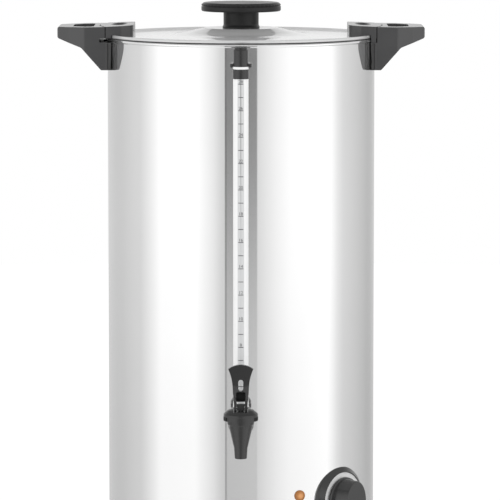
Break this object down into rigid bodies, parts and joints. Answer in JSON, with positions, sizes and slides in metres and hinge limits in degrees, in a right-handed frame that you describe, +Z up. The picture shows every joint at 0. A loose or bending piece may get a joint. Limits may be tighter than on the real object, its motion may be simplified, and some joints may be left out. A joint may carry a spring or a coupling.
{
  "type": "hot water urn",
  "caption": "Tall round stainless hot water urn with a turn-to-lock lid, two loop handles, a sight gauge over a lever tap, a pilot lamp and a thermostat dial.",
  "frame": {"origin": "on the table, under the axis of the tank", "axes": "+Z up along the tank axis; the tap and gauge face -Y; the handles lie along X"},
  "size_m": [0.4112, 0.3852, 0.6285],
  "materials": {
    "steel_wall": "polished stainless sheet",
    "steel_parts": "bright steel",
    "aluminium": "satin",
    "black_plastic": "fine moulded texture",
    "rubber": "matte",
    "silicone": "soft satin",
    "clear_tube": "clear",
    "amber_lens": "translucent amber",
    "white_nylon": "plain"
  },
  "bodies": {
    "urn": {"base_plate": "steel_parts", "base_ring": "black_plastic", "boil_dry_cutout": "black_plastic", "bracket_screw": "steel_parts", "bracket_washer": "silicone", "cable_gland": "black_plastic", "clamp_nut": "steel_parts", "dial_bezel": "black_plastic", "dial_plate": "aluminium", "dial_screws": "steel_parts", "element_clamp": "steel_parts", "foot_screws": "steel_parts", "gauge_bracket": "black_plastic", "gauge_head": "black_plastic", "gauge_seal": "silicone", "gauge_top_plug": "black_plastic", "gauge_tube": "clear_tube", "gland_nut": "black_plastic", "handle_left": "black_plastic", "handle_right": "black_plastic", "handle_screws": "steel_parts", "handle_washers": "silicone", "heat_plate": "aluminium", "heating_element": "steel_parts", "lamp_body": "white_nylon", "lamp_lens": "amber_lens", "lamp_nut": "white_nylon", "outer_shell": "steel_wall", "rubber_feet": "rubber", "tank_floor": "steel_wall", "tap_body": "black_plastic", "tap_bonnet": "black_plastic", "tap_locknut": "black_plastic", "tap_spring": "steel_parts", "tap_washer_inner": "silicone", "tap_washer_outer": "silicone", "terminal_block": "white_nylon", "thermostat_body": "white_nylon"},
    "lid_ring": {"lid_seal": "silicone"},
    "lid": {"lid_pan": "steel_wall", "lid_knob": "black_plastic", "knob_screw": "steel_parts", "knob_washer": "steel_parts", "lid_block_right": "black_plastic", "lid_block_left": "black_plastic", "lid_tongues": "steel_parts", "tongue_screws": "steel_parts", "block_screws": "steel_parts"},
    "tap_valve": {"tap_stem": "black_plastic", "lever_pin": "steel_parts", "seat_cup": "silicone"},
    "lever": {"tap_lever": "black_plastic"},
    "dial": {"thermostat_knob": "black_plastic", "thermostat_spindle": "steel_parts"},
    "reset": {"reset_button": "black_plastic"}
  },
  "joints": [
    {"name": "lid_lift", "type": "slide", "parent": "urn", "child": "lid_ring", "axis": [0, 0, 1], "range_m": [0, 0.15]},
    {"name": "lid_turn", "type": "hinge", "parent": "lid_ring", "child": "lid", "pos_m": [0, 0, 0.59], "axis": [0, 0, 1], "range_deg": [0, 25]},
    {"name": "stem_lift", "type": "slide", "parent": "urn", "child": "tap_valve", "axis": [0, 0, 1], "range_m": [0, 0.00367], "stiffness_N_per_m": 250, "springref_m": -0.001, "deforming": ["tap_spring"]},
    {"name": "lever_tilt", "type": "hinge", "parent": "tap_valve", "child": "lever", "pos_m": [0, -0.2, 0.2004], "axis": [1, 0, 0], "range_deg": [0, 35]},
    {"name": "dial_turn", "type": "hinge", "parent": "urn", "child": "dial", "pos_m": [0.11428, -0.10472, 0.08], "axis": [-0.7373, 0.6756, 0], "range_deg": [0, 270]},
    {"name": "reset_press", "type": "slide", "parent": "urn", "child": "reset", "axis": [0, 0, 1], "range_m": [0, 0.0015], "stiffness_N_per_m": 200}
  ],
  "couplings": [
    {"joint": "lever_tilt", "follows": "stem_lift", "rad_per_m": 166.6}
  ]
}
